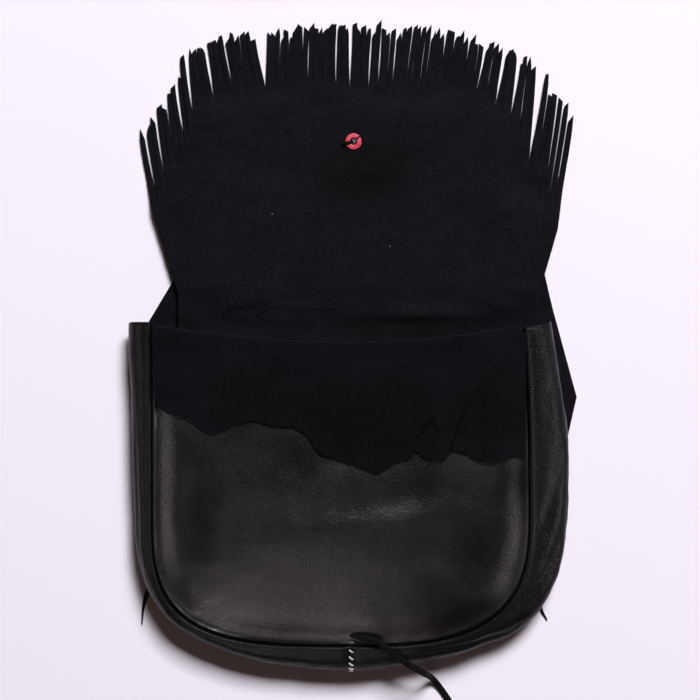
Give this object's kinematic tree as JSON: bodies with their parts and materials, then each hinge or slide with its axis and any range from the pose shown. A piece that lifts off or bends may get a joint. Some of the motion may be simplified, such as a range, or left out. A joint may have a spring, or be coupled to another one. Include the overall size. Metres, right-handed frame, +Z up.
{
  "type": "fringed leather shoulder bag",
  "caption": "Flat black leather shoulder bag, lying on its back with its fringed suede flap opened out, a turned-down cuff at the mouth and a rounded bottom.",
  "frame": {"origin": "on the flat underside of the back panel, on the line of the gusset's centre joint", "axes": "+X to the bag's right as the mouth is seen from above, +Y from the bag's bottom to the tips of the opened fringe, +Z up from the floor, through the bag's depth"},
  "size_m": [0.2853, 0.4593, 0.0347],
  "materials": {
    "black_leather": "satin smooth grain",
    "gusset_leather": "satin creased grain",
    "back_leather": "satin smooth grain",
    "black_suede": "matt suede nap",
    "strap_leather": "satin",
    "black_lace": "matt lace",
    "red_washer": "satin dyed",
    "black_button": "plain",
    "white_thread": "waxed thread"
  },
  "bodies": {
    "pouch": {"back_panel": "back_leather", "front_panel": "black_leather", "gusset_left": "gusset_leather", "gusset_right": "gusset_leather", "gusset_stitch_1": "white_thread", "gusset_stitch_2": "white_thread", "gusset_stitch_3": "white_thread", "gusset_stitch_4": "white_thread", "gusset_stitch_5": "white_thread", "gusset_stitch_6": "white_thread", "gusset_stitch_7": "white_thread", "gusset_stitch_8": "white_thread", "shoulder_strap": "strap_leather", "closure_lace": "black_lace", "lace_tail_left": "black_lace", "lace_tail_right": "black_lace"},
    "flap": {"flap": "black_suede", "backing_washer": "red_washer", "outer_button": "black_button", "button_lace": "black_lace"}
  },
  "joints": [
    {"name": "flap_hinge", "type": "hinge", "parent": "pouch", "child": "flap", "pos_m": [0, 0.1, 0.025], "axis": [1, 0, 0], "range_deg": [0, 180]}
  ]
}
